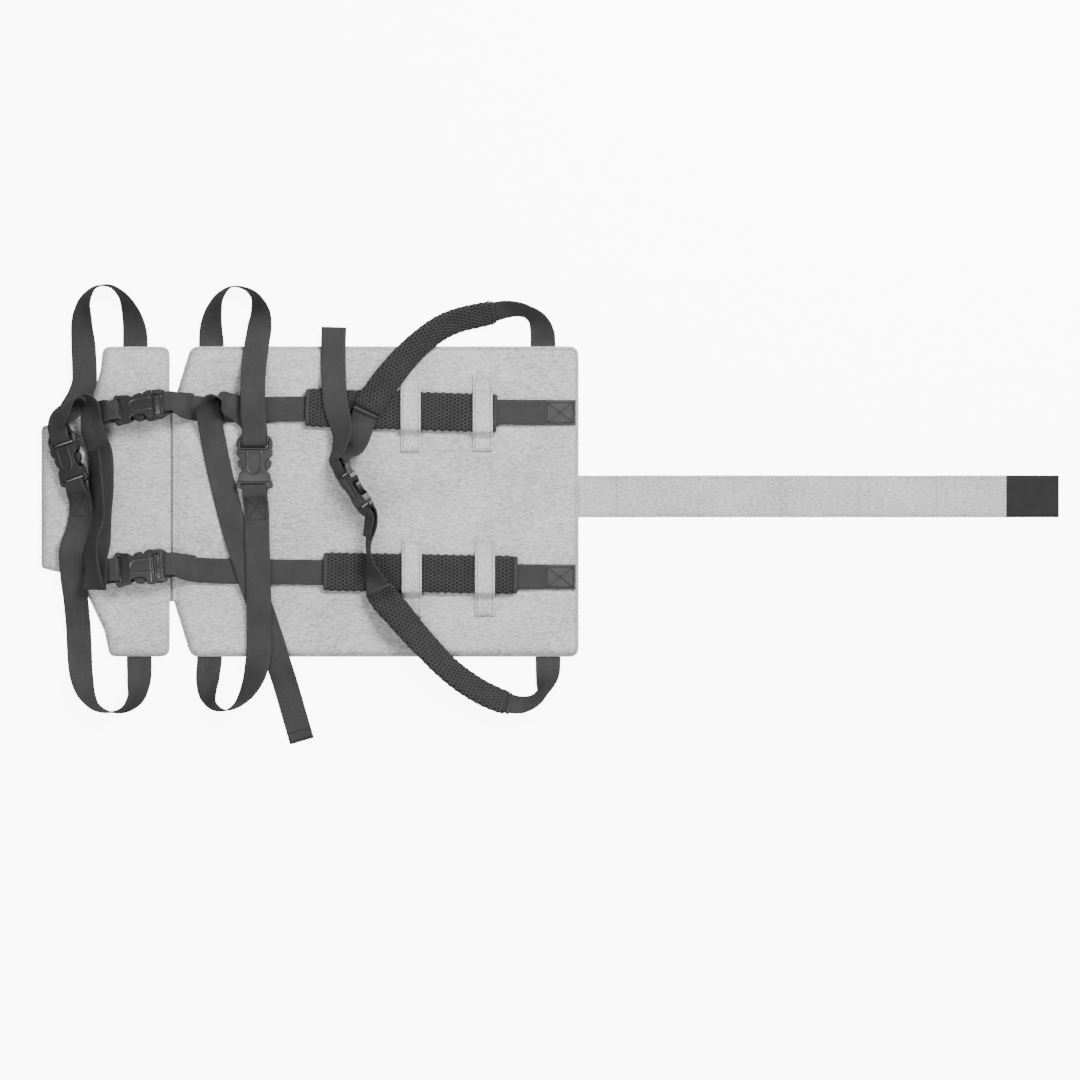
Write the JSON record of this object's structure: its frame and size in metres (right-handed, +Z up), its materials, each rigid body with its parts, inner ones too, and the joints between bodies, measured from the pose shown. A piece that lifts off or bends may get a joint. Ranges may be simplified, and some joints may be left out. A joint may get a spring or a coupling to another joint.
{
  "type": "soft baby carrier",
  "caption": "Padded carrier panel with a folding flap, webbing belts, side-release buckles, mesh strap pads and a long fastening strip, laid out flat.",
  "frame": {"origin": "centre of the main panel's underside, in the plane it rests on", "axes": "+X along the fastening strip, +Y across the panel, +Z up, away from the surface"},
  "size_m": [1.019, 0.4606, 0.047],
  "materials": {
    "heather_fabric": "light grey heather polyester, matt",
    "foam": "soft foam sheet",
    "webbing": "dark grey woven webbing, 25 mm",
    "spacer_mesh": "charcoal spacer mesh",
    "hook_tape": "black hook tape",
    "buckle_plastic": "dark grey moulded plastic, satin"
  },
  "bodies": {
    "panel": {"panel_back_cover": "heather_fabric", "panel_foam": "foam", "panel_front_cover": "heather_fabric", "fold_web": "heather_fabric", "middle_belt_inner": "webbing", "middle_belt_upper": "webbing", "middle_belt_lower": "webbing", "end_belt_inner": "webbing", "end_belt_upper": "webbing", "end_belt_lower": "webbing", "end_pad_upper": "spacer_mesh", "end_pad_lower": "spacer_mesh", "cross_strap_top": "webbing", "cross_strap_bottom": "webbing", "keeper_top_left": "heather_fabric", "keeper_top_right": "heather_fabric", "keeper_bottom_left": "heather_fabric", "keeper_bottom_right": "heather_fabric", "socket_middle_belt": "buckle_plastic", "socket_end_belt": "buckle_plastic"},
    "flap": {"flap_back_cover": "heather_fabric", "flap_foam": "foam", "flap_front_cover": "heather_fabric", "flap_belt_inner": "webbing", "flap_belt_upper": "webbing", "flap_belt_lower": "webbing", "buckle_tab_top": "webbing", "buckle_tab_bottom": "webbing", "socket_top": "buckle_plastic", "socket_bottom": "buckle_plastic", "socket_flap_belt": "buckle_plastic"},
    "pad_top": {"pad_top": "spacer_mesh"},
    "pad_bottom": {"pad_bottom": "spacer_mesh"},
    "strip_1": {"strip_1": "heather_fabric"},
    "strip_2": {"strip_2": "heather_fabric"},
    "strip_3": {"strip_3": "heather_fabric"},
    "strip_4": {"strip_4": "heather_fabric"},
    "strip_5": {"strip_5": "heather_fabric"},
    "strip_6": {"strip_6": "heather_fabric", "hook_patch": "hook_tape"},
    "plug_top": {"plug_top": "buckle_plastic"},
    "prong_left_top": {"prong_left_top": "buckle_plastic"},
    "prong_right_top": {"prong_right_top": "buckle_plastic"},
    "plug_bottom": {"plug_bottom": "buckle_plastic"},
    "prong_left_bottom": {"prong_left_bottom": "buckle_plastic"},
    "prong_right_bottom": {"prong_right_bottom": "buckle_plastic"},
    "plug_flap_belt": {"plug_flap_belt": "buckle_plastic"},
    "prong_left_flap_belt": {"prong_left_flap_belt": "buckle_plastic"},
    "prong_right_flap_belt": {"prong_right_flap_belt": "buckle_plastic"},
    "plug_middle_belt": {"plug_middle_belt": "buckle_plastic"},
    "prong_left_middle_belt": {"prong_left_middle_belt": "buckle_plastic"},
    "prong_right_middle_belt": {"prong_right_middle_belt": "buckle_plastic"},
    "plug_end_belt": {"plug_end_belt": "buckle_plastic"},
    "prong_left_end_belt": {"prong_left_end_belt": "buckle_plastic"},
    "prong_right_end_belt": {"prong_right_end_belt": "buckle_plastic"}
  },
  "joints": [
    {"name": "flap_fold", "type": "hinge", "parent": "panel", "child": "flap", "pos_m": [-0.204, 0, 0.0094], "axis": [0, 1, 0], "range_deg": [0, 70], "deforming": ["cross_strap_top", "cross_strap_bottom", "fold_web"]},
    {"name": "strip_fold_1", "type": "hinge", "parent": "panel", "child": "strip_1", "pos_m": [0.20375, 0.0052, 0.0024], "axis": [0, -1, 0], "range_deg": [0, 45]},
    {"name": "strip_fold_2", "type": "hinge", "parent": "strip_1", "child": "strip_2", "pos_m": [0.278, 0.0052, 0.0024], "axis": [0, -1, 0], "range_deg": [0, 45]},
    {"name": "strip_fold_3", "type": "hinge", "parent": "strip_2", "child": "strip_3", "pos_m": [0.3677, 0.0052, 0.0024], "axis": [0, -1, 0], "range_deg": [0, 45]},
    {"name": "strip_fold_4", "type": "hinge", "parent": "strip_3", "child": "strip_4", "pos_m": [0.4435, 0.0052, 0.0024], "axis": [0, -1, 0], "range_deg": [0, 45]},
    {"name": "strip_fold_5", "type": "hinge", "parent": "strip_4", "child": "strip_5", "pos_m": [0.521, 0.0052, 0.0024], "axis": [0, -1, 0], "range_deg": [0, 45]},
    {"name": "strip_fold_6", "type": "hinge", "parent": "strip_5", "child": "strip_6", "pos_m": [0.602, 0.0052, 0.0024], "axis": [0, -1, 0], "range_deg": [0, 45]},
    {"name": "pad_top_slide", "type": "slide", "parent": "panel", "child": "pad_top", "axis": [0.9995, -0.0313, 0], "range_m": [-0.025, 0.02], "deforming": ["cross_strap_top"]},
    {"name": "pad_bottom_slide", "type": "slide", "parent": "panel", "child": "pad_bottom", "axis": [0.9998, -0.018, 0], "range_m": [-0.035, 0.005], "deforming": ["cross_strap_bottom"]},
    {"name": "release_top", "type": "slide", "parent": "flap", "child": "plug_top", "axis": [-0.9877, -0.1564, 0], "range_m": [-0.025, 0], "deforming": ["cross_strap_top", "buckle_tab_top", "prong_left_top", "prong_right_top"]},
    {"name": "pinch_left_top", "type": "hinge", "parent": "plug_top", "child": "prong_left_top", "pos_m": [-0.22333, 0.10436, 0.01811], "axis": [-0.0984, 0.6216, 0.7771], "range_deg": [0, 10], "stiffness_Nm_per_rad": 0.05},
    {"name": "pinch_right_top", "type": "hinge", "parent": "plug_top", "child": "prong_right_top", "pos_m": [-0.22066, 0.08748, 0.03196], "axis": [-0.0984, 0.6216, 0.7771], "range_deg": [-10, 0], "stiffness_Nm_per_rad": 0.05},
    {"name": "release_bottom", "type": "slide", "parent": "flap", "child": "plug_bottom", "axis": [-0.9951, -0.0993, 0], "range_m": [-0.025, 0], "deforming": ["cross_strap_bottom", "buckle_tab_bottom", "prong_left_bottom", "prong_right_bottom"]},
    {"name": "pinch_left_bottom", "type": "hinge", "parent": "plug_bottom", "child": "prong_left_bottom", "pos_m": [-0.22249, -0.05513, 0.01717], "axis": [-0.042, 0.4205, 0.9063], "range_deg": [0, 10], "stiffness_Nm_per_rad": 0.05},
    {"name": "pinch_right_bottom", "type": "hinge", "parent": "plug_bottom", "child": "prong_right_bottom", "pos_m": [-0.22051, -0.07497, 0.02647], "axis": [-0.042, 0.4205, 0.9063], "range_deg": [-10, 0], "stiffness_Nm_per_rad": 0.05},
    {"name": "release_flap_belt", "type": "slide", "parent": "flap", "child": "plug_flap_belt", "axis": [0.2907, -0.9568, 0], "range_m": [-0.025, 0], "deforming": ["flap_belt_upper", "flap_belt_lower", "prong_left_flap_belt", "prong_right_flap_belt"]},
    {"name": "pinch_left_flap_belt", "type": "hinge", "parent": "plug_flap_belt", "child": "prong_left_flap_belt", "pos_m": [-0.31815, 0.052, 0.01806], "axis": [-0.5891, -0.179, 0.788], "range_deg": [0, 10], "stiffness_Nm_per_rad": 0.05},
    {"name": "pinch_right_flap_belt", "type": "hinge", "parent": "plug_flap_belt", "child": "prong_right_flap_belt", "pos_m": [-0.30156, 0.05704, 0.03161], "axis": [-0.5891, -0.179, 0.788], "range_deg": [-10, 0], "stiffness_Nm_per_rad": 0.05},
    {"name": "release_middle_belt", "type": "slide", "parent": "panel", "child": "plug_middle_belt", "axis": [0, -1, 0], "range_m": [-0.025, 0], "deforming": ["middle_belt_upper", "middle_belt_lower", "prong_left_middle_belt", "prong_right_middle_belt"]},
    {"name": "pinch_left_middle_belt", "type": "hinge", "parent": "plug_middle_belt", "child": "prong_left_middle_belt", "pos_m": [-0.13139, 0.051, 0.01545], "axis": [-0.1392, 0, 0.9903], "range_deg": [0, 10], "stiffness_Nm_per_rad": 0.05},
    {"name": "pinch_right_middle_belt", "type": "hinge", "parent": "plug_middle_belt", "child": "prong_right_middle_belt", "pos_m": [-0.10961, 0.051, 0.01851], "axis": [-0.1392, 0, 0.9903], "range_deg": [-10, 0], "stiffness_Nm_per_rad": 0.05},
    {"name": "release_end_belt", "type": "slide", "parent": "panel", "child": "plug_end_belt", "axis": [0.5402, -0.8415, 0], "range_m": [-0.025, 0], "deforming": ["end_belt_upper", "end_belt_lower", "prong_left_end_belt", "prong_right_end_belt"]},
    {"name": "pinch_left_end_belt", "type": "hinge", "parent": "plug_end_belt", "child": "prong_left_end_belt", "pos_m": [-0.032, 0.02176, 0.01848], "axis": [-0.7688, -0.4935, 0.4067], "range_deg": [0, 10], "stiffness_Nm_per_rad": 0.05},
    {"name": "pinch_right_end_belt", "type": "hinge", "parent": "plug_end_belt", "child": "prong_right_end_belt", "pos_m": [-0.02447, 0.0266, 0.03858], "axis": [-0.7688, -0.4935, 0.4067], "range_deg": [-10, 0], "stiffness_Nm_per_rad": 0.05}
  ],
  "couplings": [
    {"joint": "strip_fold_2", "follows": "strip_fold_1", "ratio": 1},
    {"joint": "strip_fold_3", "follows": "strip_fold_1", "ratio": 1},
    {"joint": "strip_fold_4", "follows": "strip_fold_1", "ratio": 1},
    {"joint": "strip_fold_5", "follows": "strip_fold_1", "ratio": 1},
    {"joint": "strip_fold_6", "follows": "strip_fold_1", "ratio": 1},
    {"joint": "pinch_right_top", "follows": "pinch_left_top", "ratio": -1},
    {"joint": "pinch_right_bottom", "follows": "pinch_left_bottom", "ratio": -1},
    {"joint": "pinch_right_flap_belt", "follows": "pinch_left_flap_belt", "ratio": -1},
    {"joint": "pinch_right_middle_belt", "follows": "pinch_left_middle_belt", "ratio": -1},
    {"joint": "pinch_right_end_belt", "follows": "pinch_left_end_belt", "ratio": -1}
  ]
}
